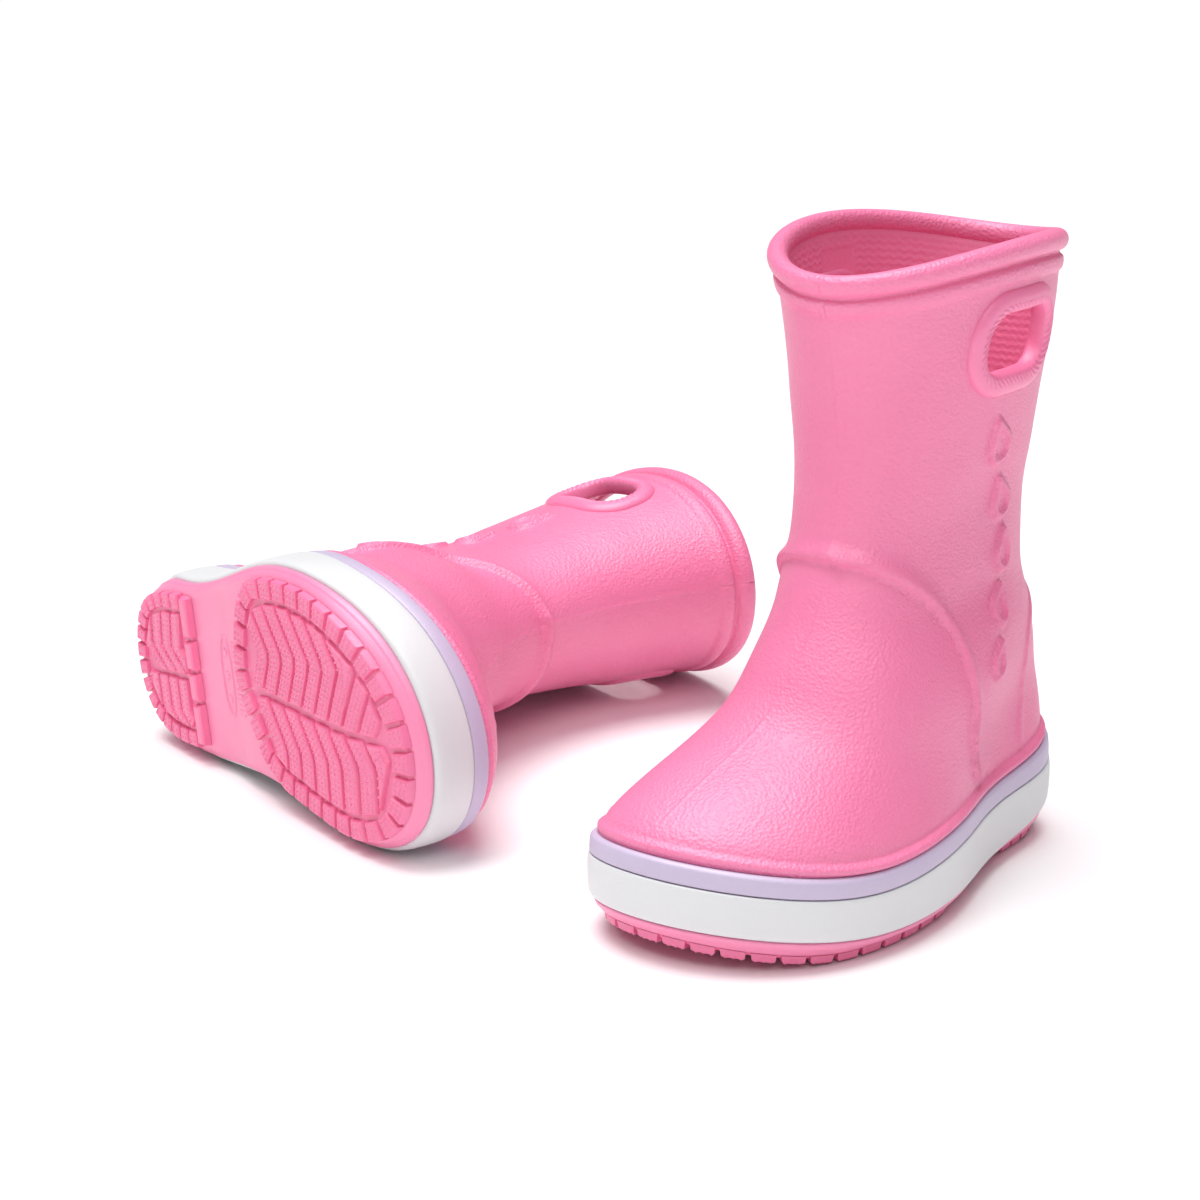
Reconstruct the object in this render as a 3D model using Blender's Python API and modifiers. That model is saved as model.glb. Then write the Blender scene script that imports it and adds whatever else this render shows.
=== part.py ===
"""Pair of children's pull-on rain boots in moulded foam.

The left boot stands on the floor with its toe along -Y and its outer side along +X.
The right boot is its mirror image and lies on its inner side beside it.

Every shape is worked out in a boot's own frame, in millimetres: x runs from the heel to the toe,
y to the outer side of the foot, z up from the ground. An angle parameter s runs once round the
boot: 0 at the toe, 0.25 at the outer side, 0.5 at the heel, 0.75 at the inner side.
"""
import bpy
import bmesh
import math
import numpy as np
from mathutils import Matrix, Vector, Euler

MM = 0.001

# ---------------------------------------------------------------- driving dimensions, millimetres
FOOT_LENGTH = 190.0                                 # over the white band, heel to toe
STATIONS = (0.0, 0.25, 0.5, 0.75, 1.0)              # share of the length, heel to toe
OUTER_FULLNESS = (65.0, 38.9, 43.5, 53.1, 66.7)     # half width is 2*sqrt(X(1-X)) times this
INNER_FULLNESS = (59.0, 39.4, 37.8, 52.2, 72.2)
TOE_SWING = -15.0                                   # the toe leans to the inner side

STRIPE_TOP_Z = (38.0, 30.7, 31.1, 28.5, 36.4)       # heights of the four lines round the sole
STRIPE_LOW_Z = (28.3, 23.9, 24.5, 22.0, 29.3)
BAND_LOW_Z = (15.6, 6.6, 7.4, 7.6, 14.7)
FOOTBED_Z = (23.5, 20.0, 20.0, 18.5, 23.0)

TOE_SPRING = 7.5                                    # rise of the tread at the toe
TOE_SPRING_FROM = 148.0
TREAD_DEPTH = 3.0
ARCH_RECESS = 1.3
HEEL_PAD_X = (6.2, 51.0)
FOREFOOT_PAD_X = (82.0, 184.3)
PAD_INSET = 6.0
HEEL_SEAT_INSET = 5.4                               # outsole's ground line inside the band's line
GROOVE_WIDTH = 3.0
GROOVE_DEPTH = 2.2
GROOVE_PITCH = 9.2

RIM_Z = 208.1                                       # mean height of the rim
RIM_SADDLE = 3.65                                   # sides of the rim are higher than front and back
# shaft and foot, by share of height h from the stripe (0) to the rim (1)
LEVELS = (0.0, 0.08, 0.17, 0.27, 0.38, 0.5, 0.62, 0.75, 0.88, 1.0)
FRONT_X = (186.5, 164.2, 138.6, 126.8, 116.6, 109.4, 107.5, 109.8, 114.8, 121.5)
BACK_X = (3.0, 1.5, 3.7, 6.0, 8.6, 9.3, 7.5, 5.1, 2.8, 1.2)
OUTER_W = (39.7, 38.7, 38.2, 32.8, 26.4, 25.2, 28.7, 33.1, 36.3, 37.8)
INNER_W = (34.0, 32.4, 30.9, 31.8, 32.4, 33.6, 35.9, 38.4, 40.1, 40.5)
WIDEST = (0.66, 0.62, 0.58, 0.52, 0.47, 0.46, 0.48, 0.5, 0.5, 0.5)
FRONT_POWER = (2.4, 2.7, 3.2, 3.5, 3.2, 2.7, 2.3, 2.1, 2.0, 2.0)
BACK_POWER = (2.4, 2.3, 2.2, 2.2, 2.2, 2.2, 2.1, 2.0, 2.0, 2.0)
FOOT_BLEND = 0.36                                   # above this h the sole's outline has no say
TOE_TAPER, TOE_TAPER_H = 0.12, 0.36                 # the vamp narrows quickly above the toe box
TOE_BULGE, TOE_BULGE_H = 72.5, 0.24                 # the toe stands up steeply before it rounds over

WALL = 3.2
RIM_BEAD = 2.2                                      # how far the rim stands proud
RIM_BEAD_H = 0.962
GAP = 0.3
SKIRT_INSET = 4.6                                   # the shell's edge that sits inside the bands
LIP_INSET = 2.95
BAND_INNER = 4.25

GRIP_X, GRIP_Z = 60.0, 179.0                        # middle of the grip slot
GRIP_LENGTH, GRIP_HEIGHT, GRIP_CORNER = 34.0, 20.0, 8.5

RIGHT_OFFSET = (-296.5, -129.6, 0.0)                # right boot's heel point from the left's, millimetres
RIGHT_TURN = (-78.530, 81.382, -5.896)                        # XYZ Euler angles, degrees

ROUND = 40                                          # points round a ring
SHAFT_STEPS = (0.04, 0.08, 0.125, 0.17, 0.22, 0.27, 0.325, 0.38, 0.46, 0.54, 0.64, 0.75, 0.86, 0.952)

PINK = (0.92, 0.27, 0.46, 1.0)
DEEP_PINK = (0.78, 0.20, 0.36, 1.0)
LAVENDER = (0.56, 0.48, 0.66, 1.0)
WHITE = (0.80, 0.80, 0.81, 1.0)
FOAM = (0.86, 0.30, 0.46, 1.0)


# ---------------------------------------------------------------- curves through the tables
def natural(xs, ys):
    """Natural cubic spline through the points, and straight on past its ends."""
    xs, ys = np.array(xs, float), np.array(ys, float)
    n, h = len(xs), np.diff(xs)
    a, b = np.eye(n), np.zeros(n)
    for i in range(1, n - 1):
        a[i, i - 1:i + 2] = h[i - 1], 2 * (h[i - 1] + h[i]), h[i]
        b[i] = 6 * ((ys[i + 1] - ys[i]) / h[i] - (ys[i] - ys[i - 1]) / h[i - 1])
    m = np.linalg.solve(a, b)

    def value(x):
        x = np.asarray(x, float)
        q = np.clip(x, xs[0], xs[-1])
        k = np.clip(np.searchsorted(xs, q, side="right") - 1, 0, n - 2)
        u, w = xs[k + 1] - q, q - xs[k]
        y = (m[k] * u ** 3 + m[k + 1] * w ** 3) / (6 * h[k])
        y = y + (ys[k] / h[k] - m[k] * h[k] / 6) * u + (ys[k + 1] / h[k] - m[k + 1] * h[k] / 6) * w
        lo = (ys[1] - ys[0]) / h[0] - h[0] * m[1] / 6
        hi = (ys[-1] - ys[-2]) / h[-1] + h[-1] * m[-2] / 6
        return y + np.where(x < xs[0], (x - xs[0]) * lo, 0) + np.where(x > xs[-1], (x - xs[-1]) * hi, 0)
    return value


def monotone(xs, ys):
    """Cubic curve through the points that doesn't overshoot them."""
    xs, ys = np.array(xs, float), np.array(ys, float)
    h = np.diff(xs)
    d = np.diff(ys) / h
    m = np.zeros(len(xs))
    for i in range(1, len(xs) - 1):
        if d[i - 1] * d[i] > 0:
            w1, w2 = 2 * h[i] + h[i - 1], h[i] + 2 * h[i - 1]
            m[i] = (w1 + w2) / (w1 / d[i - 1] + w2 / d[i])
    m[0], m[-1] = d[0], d[-1]

    def value(x):
        q = np.clip(np.asarray(x, float), xs[0], xs[-1])
        k = np.clip(np.searchsorted(xs, q, side="right") - 1, 0, len(xs) - 2)
        t = (q - xs[k]) / h[k]
        return (ys[k] * (1 + 2 * t) * (1 - t) ** 2 + ys[k + 1] * t * t * (3 - 2 * t)
                + h[k] * t * (1 - t) * (m[k] * (1 - t) - m[k + 1] * t))
    return value


outer_fullness = natural(STATIONS, OUTER_FULLNESS)
inner_fullness = natural(STATIONS, INNER_FULLNESS)
LINE = {name: natural(np.array(STATIONS) * FOOT_LENGTH, table) for name, table in (
    ("stripe_top", STRIPE_TOP_Z), ("stripe_low", STRIPE_LOW_Z), ("band_low", BAND_LOW_Z), ("footbed", FOOTBED_Z))}
SHAPE = {name: monotone(LEVELS, table) for name, table in (
    ("front", FRONT_X), ("back", BACK_X), ("outer", OUTER_W), ("inner", INNER_W),
    ("widest", WIDEST), ("front_power", FRONT_POWER), ("back_power", BACK_POWER))}


def ground_z(x):
    """Height of the tread's wearing face: flat, with the toe turned up."""
    x = np.asarray(x, float)
    return TOE_SPRING * np.clip((x - TOE_SPRING_FROM) / (FOOT_LENGTH - TOE_SPRING_FROM), 0, None) ** 1.7


def sole_z(x):
    """Underside of the outsole, above the tread pads, higher under the arch."""
    x = np.asarray(x, float)
    arch = np.clip((x - HEEL_PAD_X[1]) / (FOREFOOT_PAD_X[0] - HEEL_PAD_X[1]), 0, 1)
    return ground_z(x) + TREAD_DEPTH + GAP + ARCH_RECESS * np.sin(math.pi * arch) ** 2


def turn(n):
    return np.arange(n) / n


def share(s):
    return 0.5 * (1 + np.cos(2 * math.pi * s))


def outline(s, offset=0.0):
    """The white band's line seen from above, moved out by offset: arrays of x and y."""
    X = share(s)
    half = 2 * np.sqrt(np.clip(X * (1 - X), 0, None))
    y = np.where(np.sin(2 * math.pi * s) >= 0, half * outer_fullness(X), -half * inner_fullness(X))
    y = y + TOE_SWING * np.clip((X - 0.45) / 0.55, 0, 1) ** 2
    p = np.stack([FOOT_LENGTH * X, y], 1)
    t = np.roll(p, -1, 0) - np.roll(p, 1, 0)
    t /= np.linalg.norm(t, axis=1)[:, None]
    p = p + offset * np.stack([-t[:, 1], t[:, 0]], 1) * -1.0 * winding(p)
    return p[:, 0], p[:, 1]


def winding(p):
    area = np.sum(p[:, 0] * np.roll(p[:, 1], -1) - np.roll(p[:, 0], -1) * p[:, 1])
    return 1.0 if area > 0 else -1.0


def sole_ring(offset, height, n=ROUND):
    """A ring that follows the outline, at height(x)."""
    x, y = outline(turn(n), offset)
    return np.stack([x, y, height(x) + 0 * x], 1)


def rim_z(s):
    return RIM_Z - RIM_SADDLE * np.cos(4 * math.pi * s)


def upper_ring(h, n=ROUND, proud=0.0):
    """One ring of the shell's outer face, at share h of its height."""
    s = turn(n)
    X = share(s)
    outer_side = np.sin(2 * math.pi * s) >= 0
    widest = SHAPE["widest"](h)
    d = np.where(X > widest, (X - widest) / (1 - widest), (widest - X) / widest)
    power = np.where(X > widest, SHAPE["front_power"](h), SHAPE["back_power"](h))
    bow = np.sqrt(np.clip(1 - d ** power, 0, None))
    shaft_y = np.where(outer_side, SHAPE["outer"](h) * bow, -SHAPE["inner"](h) * bow)
    q = min(h / TOE_TAPER_H, 1.0)
    foot_y = outline(s, -LIP_INSET)[1] * (1 - 0.35 * h - TOE_TAPER * 16 * q ** 2 * (1 - q) ** 2)
    m = min(h / FOOT_BLEND, 1.0)
    m = m * m * (3 - 2 * m)
    t = min(h / TOE_BULGE_H, 1.0)
    front = SHAPE["front"](h) + TOE_BULGE * t * (1 - t) ** 3
    x = SHAPE["back"](h) + (front - SHAPE["back"](h)) * X
    y = (1 - m) * foot_y + m * shaft_y
    z = LINE["stripe_top"](FOOT_LENGTH * X) * (1 - h) + rim_z(s) * h
    p = np.stack([x, y, z], 1)
    if proud:
        t = np.roll(p, -1, 0) - np.roll(p, 1, 0)
        t[:, 2] = 0
        t /= np.linalg.norm(t, axis=1)[:, None]
        p[:, :2] += proud * np.stack([t[:, 1], -t[:, 0]], 1) * winding(p)
    return p


# ---------------------------------------------------------------- meshes
def boot_frame(p, side):
    """Millimetres in the boot's own frame to metres: toe along -Y, outer side along +X for the left boot."""
    p = np.asarray(p, float)
    return np.stack([side * p[..., 1], -p[..., 0], p[..., 2]], -1) * MM


def add_object(name, bm, side, material, collection):
    for v in bm.verts:
        v.co = Vector(boot_frame(v.co, side))
    bmesh.ops.recalc_face_normals(bm, faces=bm.faces)
    if bm.calc_volume(signed=True) < 0:
        bmesh.ops.reverse_faces(bm, faces=bm.faces)
    mesh = bpy.data.meshes.new(name)
    bm.to_mesh(mesh)
    bm.free()
    mesh.materials.append(material)
    ob = bpy.data.objects.new(name, mesh)
    collection.objects.link(ob)
    return ob


def skin(rings, closed=False):
    """Quads between rings of the same number of points; closed joins the last ring to the first."""
    bm = bmesh.new()
    loops = [[bm.verts.new(p) for p in ring] for ring in rings]
    pairs = list(zip(loops, loops[1:])) + ([(loops[-1], loops[0])] if closed else [])
    for a, b in pairs:
        for i in range(len(a)):
            j = (i + 1) % len(a)
            bm.faces.new((a[i], a[j], b[j], b[i]))
    return bm, loops


def ladder_cap(bm, loop):
    """Closes a ring with strips from its outer side to its inner side. Points that face each other share
    their x, so a face whose height depends on x alone is closed exactly."""
    n = len(loop)
    bm.faces.new((loop[0], loop[1], loop[n - 1]))
    for i in range(1, n // 2 - 1):
        bm.faces.new((loop[i], loop[i + 1], loop[n - i - 1], loop[n - i]))
    bm.faces.new((loop[n // 2 - 1], loop[n // 2], loop[n // 2 + 1]))


def plate(rings):
    """A solid plate: a skin with both ends closed."""
    bm, loops = skin(rings)
    ladder_cap(bm, loops[0])
    ladder_cap(bm, loops[-1])
    return bm


def pad_ring(x_range, inset, rear_round, front_round, height, steps=13):
    """Outline of a tread pad: it follows the sole between two stations, with its cut ends rounded."""
    x, y = outline(turn(720), -inset)
    half = 360
    lat_x, lat_y = x[:half + 1][::-1], y[:half + 1][::-1]
    med_x, med_y = x[half:], y[half:]
    x0, x1 = x_range
    stations = x0 + (x1 - x0) * (0.5 - 0.5 * np.cos(math.pi * np.arange(steps) / (steps - 1)))

    def edge(xe, ye, which):
        order = np.argsort(xe)
        v = np.interp(stations, xe[order], ye[order])
        for (r_out, r_in, mid), from_end in ((rear_round, stations - x0), (front_round, x1 - stations)):
            r = r_out if which > 0 else r_in
            if r:
                f = np.sqrt(np.clip(1 - (1 - np.clip(from_end / r, 0, 1)) ** 2, 0, 1))
                v = mid + (v - mid) * (0.12 + 0.88 * f)
        return v
    out_side, in_side = edge(lat_x, lat_y, 1), edge(med_x, med_y, -1)
    ring = [(a, b) for a, b in zip(stations[::-1], out_side[::-1])] + [(a, b) for a, b in zip(stations, in_side)]
    ring = np.array(ring)
    return np.column_stack([ring, height(ring[:, 0]) + 0 * ring[:, 0]])


def pad(x_range, inset, rear_round, front_round):
    """A tread pad: the two long edges of its outline face each other station by station."""
    low = pad_ring(x_range, inset, rear_round, front_round, ground_z)
    top = pad_ring(x_range, inset - 0.5, rear_round, front_round, lambda x: ground_z(x) + TREAD_DEPTH)
    bm, loops = skin([low, top])
    for loop in loops:
        n = len(loop)
        for i in range(n // 2 - 1):
            bm.faces.new((loop[i], loop[i + 1], loop[n - i - 2], loop[n - i - 1]))
    return bm


def chevrons(x_range, inner_y, outer_y, middle_y, lean):
    """Cutter for the chevron grooves across a pad: V shapes that point to the toe, each a flat outline made thick."""
    bm = bmesh.new()
    x = x_range[0]
    while x < x_range[1]:
        top = float(ground_z(x + lean)) + GROOVE_DEPTH
        outline_points = [(x, inner_y), (x + lean, middle_y), (x, outer_y),
                          (x + GROOVE_WIDTH, outer_y), (x + lean + GROOVE_WIDTH, middle_y), (x + GROOVE_WIDTH, inner_y)]
        low = [bm.verts.new((px, py, -4.0)) for px, py in outline_points]
        high = [bm.verts.new((px, py, top)) for px, py in outline_points]
        for i in range(6):
            j = (i + 1) % 6
            bm.faces.new((low[i], low[j], high[j], high[i]))
        for loop in (low, high):
            bm.faces.new((loop[0], loop[1], loop[4], loop[5]))
            bm.faces.new((loop[1], loop[2], loop[3], loop[4]))
        x += GROOVE_PITCH
    return bm


def grip_cutter():
    """Rounded slot that runs straight across the shaft."""
    bm = bmesh.new()
    bmesh.ops.create_cube(bm, size=1.0)
    bmesh.ops.scale(bm, vec=(GRIP_LENGTH, 130.0, GRIP_HEIGHT), verts=bm.verts)
    long_edges = [e for e in bm.edges if abs(e.verts[0].co.y - e.verts[1].co.y) > 1.0]
    bmesh.ops.bevel(bm, geom=long_edges, offset=GRIP_CORNER, segments=4, profile=0.5, affect="EDGES")
    bmesh.ops.translate(bm, vec=(GRIP_X, 0.0, GRIP_Z), verts=bm.verts)
    return bm


# ---------------------------------------------------------------- the pieces of one boot
def upper_shell():
    low = sole_ring(-SKIRT_INSET, lambda x: LINE["footbed"](x) + GAP)
    tuck = sole_ring(-SKIRT_INSET, lambda x: LINE["stripe_top"](x) + 0.1)
    lip = upper_ring(0.0)
    lip[:, 2] += GAP
    rings = [low, tuck, lip] + [upper_ring(h) for h in SHAFT_STEPS]
    rings += [upper_ring(RIM_BEAD_H, proud=RIM_BEAD), upper_ring(1.0, proud=RIM_BEAD)]
    return skin(rings)[0]


def band_ring():
    low, high = LINE["band_low"], LINE["stripe_low"]
    return skin([
        sole_ring(-BAND_INNER, lambda x: low(x) + GAP / 2),
        sole_ring(-1.0, lambda x: low(x) + GAP / 2),
        sole_ring(0.4, lambda x: 0.5 * (low(x) + high(x))),
        sole_ring(0.0, lambda x: high(x) - GAP / 2),
        sole_ring(-BAND_INNER, lambda x: high(x) - GAP / 2),
    ], closed=True)[0]


def stripe_ring():
    low, high = LINE["stripe_low"], LINE["stripe_top"]
    return skin([
        sole_ring(-BAND_INNER, lambda x: low(x) + GAP / 2),
        sole_ring(-0.2, lambda x: low(x) + GAP / 2),
        sole_ring(-1.0, lambda x: high(x) - GAP / 2),
        sole_ring(-BAND_INNER, lambda x: high(x) - GAP / 2),
    ], closed=True)[0]


def core_plate():
    return plate([sole_ring(-SKIRT_INSET, lambda x: LINE["band_low"](x) + GAP / 2),
                  sole_ring(-SKIRT_INSET, LINE["footbed"])])


def outsole_plate():
    low = LINE["band_low"]
    return plate([
        sole_ring(-HEEL_SEAT_INSET - 0.6, sole_z),
        sole_ring(-HEEL_SEAT_INSET + 0.9, lambda x: np.minimum(sole_z(x) + 0.7, low(x) - 1.2)),
        sole_ring(-1.6, lambda x: low(x) - GAP / 2),
    ])


def insole_plate():
    inset = SKIRT_INSET + WALL + 0.7
    return plate([sole_ring(-inset, lambda x: LINE["footbed"](x) + GAP),
                  sole_ring(-inset + 0.3, lambda x: LINE["footbed"](x) + GAP + 2.6),
                  sole_ring(-inset - 1.0, lambda x: LINE["footbed"](x) + GAP + 3.8)])


def principled(name, colour, roughness):
    material = bpy.data.materials.new(name)
    material.use_nodes = True
    shader = material.node_tree.nodes["Principled BSDF"]
    shader.inputs["Base Color"].default_value = colour
    shader.inputs["Roughness"].default_value = roughness
    shader.inputs["Metallic"].default_value = 0.0
    material.diffuse_color = colour
    return material


def cut(ob, cutter):
    boolean = ob.modifiers.new("cut_" + cutter.name, "BOOLEAN")
    boolean.operation = "DIFFERENCE"
    boolean.solver = "EXACT"
    boolean.object = cutter


def make_cutter(name, bm, side, material, collection):
    ob = add_object(name, bm, side, material, collection)
    ob.hide_render = True
    ob.display_type = "WIRE"
    return ob


def build_boot(prefix, side, parts, cutters):
    """All eight pieces of one boot and its cutters, parented to an empty at the back of its heel on the ground."""
    empty = bpy.data.objects.new(prefix + "_boot_placement", None)
    parts.objects.link(empty)
    made = []
    for name, bm, colour, roughness in (
            ("upper", upper_shell(), PINK, 0.5),
            ("midsole_core", core_plate(), FOAM, 0.8),
            ("midsole_band", band_ring(), WHITE, 0.45),
            ("accent_stripe", stripe_ring(), LAVENDER, 0.45),
            ("outsole", outsole_plate(), DEEP_PINK, 0.55),
            ("heel_tread", pad(HEEL_PAD_X, PAD_INSET, (0, 0, 0), (3.0, 3.0, 0.0)), DEEP_PINK, 0.6),
            ("forefoot_tread", pad(FOREFOOT_PAD_X, PAD_INSET, (14.0, 24.0, 3.0), (0, 0, 0)), DEEP_PINK, 0.6),
            ("insole", insole_plate(), FOAM, 0.85)):
        node = prefix + "_" + name
        ob = add_object(node, bm, side, principled(node, colour, roughness), parts)
        ob.parent = empty
        made.append(ob)
    upper, heel, forefoot = made[0], made[5], made[6]

    wall = upper.modifiers.new("wall", "SOLIDIFY")
    wall.thickness = WALL * MM
    wall.offset = -1.0
    wall.use_even_offset = True
    wall.use_quality_normals = True
    wire = principled(prefix + "_cutter", (0.2, 0.2, 0.2, 1.0), 0.5)
    for target, name, bm in (
            (upper, "grip_slot", grip_cutter()),
            (heel, "heel_grooves", chevrons((13.0, 44.0), -60.0, 60.0, -3.0, 5.0)),
            (forefoot, "forefoot_grooves", chevrons((89.0, 168.0), -80.0, 80.0, -6.0, 9.0))):
        cutter = make_cutter(prefix + "_" + name, bm, side, wire, cutters)
        cutter.parent = empty
        cut(target, cutter)
    for ob in made:
        ob.data.shade_smooth()
        ob.data.set_sharp_from_angle(angle=math.radians(38))
    return empty, made


def main():
    for ob in list(bpy.data.objects):
        bpy.data.objects.remove(ob, do_unlink=True)
    parts = bpy.data.collections.new("rain_boots")
    cutters = bpy.data.collections.new("rain_boots_cutters")
    bpy.context.scene.collection.children.link(parts)
    bpy.context.scene.collection.children.link(cutters)

    left, left_parts = build_boot("left", 1.0, parts, cutters)
    right, right_parts = build_boot("right", -1.0, parts, cutters)
    right.rotation_euler = Euler([math.radians(a) for a in RIGHT_TURN], "XYZ")
    right.location = Vector(RIGHT_OFFSET) * MM
    bpy.context.view_layer.update()

    # stand the pair on z = 0 with the middle of its box over the origin
    graph = bpy.context.evaluated_depsgraph_get()
    corners = []
    lowest = {}
    for empty, group in ((left, left_parts), (right, right_parts)):
        points = [ob.matrix_world @ v.co for ob in group for v in ob.evaluated_get(graph).data.vertices]
        lowest[empty.name] = min(p.z for p in points)
        corners += [(p.x, p.y) for p in points]
    middle = (np.min(corners, axis=0) + np.max(corners, axis=0)) / 2
    for empty in (left, right):
        empty.location.x -= middle[0]
        empty.location.y -= middle[1]
        empty.location.z -= lowest[empty.name]
    bpy.context.view_layer.update()


main()
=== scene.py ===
import bpy
import math
import numpy as np
from mathutils import Euler, Matrix, Vector
from mathutils.kdtree import KDTree


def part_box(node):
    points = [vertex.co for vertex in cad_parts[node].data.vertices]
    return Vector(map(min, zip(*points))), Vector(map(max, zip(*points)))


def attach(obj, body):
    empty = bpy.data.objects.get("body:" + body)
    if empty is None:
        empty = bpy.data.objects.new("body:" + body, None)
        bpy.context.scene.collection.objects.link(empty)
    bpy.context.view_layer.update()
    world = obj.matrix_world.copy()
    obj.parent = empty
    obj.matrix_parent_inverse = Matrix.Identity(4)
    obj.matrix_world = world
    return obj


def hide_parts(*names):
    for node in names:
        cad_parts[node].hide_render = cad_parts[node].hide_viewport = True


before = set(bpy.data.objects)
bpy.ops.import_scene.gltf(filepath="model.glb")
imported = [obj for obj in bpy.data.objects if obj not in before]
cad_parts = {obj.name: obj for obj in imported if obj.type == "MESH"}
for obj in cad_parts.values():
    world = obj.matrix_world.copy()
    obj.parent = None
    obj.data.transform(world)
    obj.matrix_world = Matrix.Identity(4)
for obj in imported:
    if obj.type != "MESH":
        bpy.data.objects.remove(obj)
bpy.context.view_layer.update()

MM = 0.001
PI2 = 2 * math.pi

# ------------------------------------------------------------------ the boot's driving dimensions, millimetres
FOOT_LENGTH = 190.0
STATIONS = (0.0, 0.25, 0.5, 0.75, 1.0)
OUTER_FULLNESS = (65.0, 38.9, 43.5, 53.1, 66.7)
INNER_FULLNESS = (59.0, 39.4, 37.8, 52.2, 72.2)
TOE_SWING = -15.0
STRIPE_TOP_Z = (38.0, 30.7, 31.1, 28.5, 36.4)
STRIPE_LOW_Z = (28.3, 23.9, 24.5, 22.0, 29.3)
BAND_LOW_Z = (15.6, 6.6, 7.4, 7.6, 14.7)
FOOTBED_Z = (23.5, 20.0, 20.0, 18.5, 23.0)
TOE_SPRING, TOE_SPRING_FROM = 7.5, 148.0
TREAD_DEPTH, ARCH_RECESS, GAP = 3.0, 1.3, 0.3
HEEL_PAD_X, FOREFOOT_PAD_X = (6.2, 51.0), (82.0, 184.3)
RIM_Z, RIM_SADDLE = 208.1, 3.65
LEVELS = (0.0, 0.08, 0.17, 0.27, 0.38, 0.5, 0.62, 0.75, 0.88, 1.0)
FRONT_X = (186.5, 164.2, 138.6, 126.8, 116.6, 109.4, 107.5, 109.8, 114.8, 121.5)
BACK_X = (3.0, 1.5, 3.7, 6.0, 8.6, 9.3, 7.5, 5.1, 2.8, 1.2)
OUTER_W = (39.7, 38.7, 38.2, 32.8, 26.4, 25.2, 28.7, 33.1, 36.3, 37.8)
INNER_W = (34.0, 32.4, 30.9, 31.8, 32.4, 33.6, 35.9, 38.4, 40.1, 40.5)
WIDEST = (0.66, 0.62, 0.58, 0.52, 0.47, 0.46, 0.48, 0.5, 0.5, 0.5)
FRONT_POWER = (2.4, 2.7, 3.2, 3.5, 3.2, 2.7, 2.3, 2.1, 2.0, 2.0)
BACK_POWER = (2.4, 2.3, 2.2, 2.2, 2.2, 2.2, 2.1, 2.0, 2.0, 2.0)
FOOT_BLEND = 0.36
TOE_TAPER, TOE_TAPER_H = 0.12, 0.36  # the vamp narrows quickly above the toe box
TOE_BULGE = 72.5                       # the toe stands up steeply out of the lip before it rounds over
LIP_INSET = 2.95
GRIP_X, GRIP_Z = 60.0, 179.0
GRIP_LENGTH, GRIP_HEIGHT, GRIP_CORNER = 34.0, 20.0, 8.5
RIGHT_TURN = (-78.530, 81.382, -5.896)
RIGHT_OFFSET = (-296.5, -129.6)


def natural(xs, ys):
    """Natural cubic spline through the points, and straight on past its ends."""
    xs, ys = np.array(xs, float), np.array(ys, float)
    n, h = len(xs), np.diff(xs)
    a, b = np.eye(n), np.zeros(n)
    for i in range(1, n - 1):
        a[i, i - 1:i + 2] = h[i - 1], 2 * (h[i - 1] + h[i]), h[i]
        b[i] = 6 * ((ys[i + 1] - ys[i]) / h[i] - (ys[i] - ys[i - 1]) / h[i - 1])
    m = np.linalg.solve(a, b)

    def value(x):
        x = np.asarray(x, float)
        q = np.clip(x, xs[0], xs[-1])
        k = np.clip(np.searchsorted(xs, q, side="right") - 1, 0, n - 2)
        u, w = xs[k + 1] - q, q - xs[k]
        y = (m[k] * u ** 3 + m[k + 1] * w ** 3) / (6 * h[k])
        y = y + (ys[k] / h[k] - m[k] * h[k] / 6) * u + (ys[k + 1] / h[k] - m[k + 1] * h[k] / 6) * w
        lo = (ys[1] - ys[0]) / h[0] - h[0] * m[1] / 6
        hi = (ys[-1] - ys[-2]) / h[-1] + h[-1] * m[-2] / 6
        return y + np.where(x < xs[0], (x - xs[0]) * lo, 0) + np.where(x > xs[-1], (x - xs[-1]) * hi, 0)
    return value


def monotone(xs, ys):
    """Cubic curve through the points that doesn't overshoot them."""
    xs, ys = np.array(xs, float), np.array(ys, float)
    h = np.diff(xs)
    d = np.diff(ys) / h
    m = np.zeros(len(xs))
    for i in range(1, len(xs) - 1):
        if d[i - 1] * d[i] > 0:
            w1, w2 = 2 * h[i] + h[i - 1], h[i] + 2 * h[i - 1]
            m[i] = (w1 + w2) / (w1 / d[i - 1] + w2 / d[i])
    m[0], m[-1] = d[0], d[-1]

    def value(x):
        q = np.clip(np.asarray(x, float), xs[0], xs[-1])
        k = np.clip(np.searchsorted(xs, q, side="right") - 1, 0, len(xs) - 2)
        t = (q - xs[k]) / h[k]
        return (ys[k] * (1 + 2 * t) * (1 - t) ** 2 + ys[k + 1] * t * t * (3 - 2 * t)
                + h[k] * t * (1 - t) * (m[k] * (1 - t) - m[k + 1] * t))
    return value


outer_fullness = natural(STATIONS, OUTER_FULLNESS)
inner_fullness = natural(STATIONS, INNER_FULLNESS)
LINE = {name: natural(np.array(STATIONS) * FOOT_LENGTH, table) for name, table in (
    ("stripe_top", STRIPE_TOP_Z), ("stripe_low", STRIPE_LOW_Z), ("band_low", BAND_LOW_Z), ("footbed", FOOTBED_Z))}
SHAPE = {name: monotone(LEVELS, table) for name, table in (
    ("front", FRONT_X), ("back", BACK_X), ("outer", OUTER_W), ("inner", INNER_W),
    ("widest", WIDEST), ("front_power", FRONT_POWER), ("back_power", BACK_POWER))}


def smooth(a, b, x):
    t = np.clip((x - a) / (b - a), 0, 1)
    return t * t * (3 - 2 * t)


def bell(x, width):
    """1 at 0, 0 from width on."""
    return np.cos(np.clip(np.abs(x) / width, 0, 1) * math.pi / 2) ** 2


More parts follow.
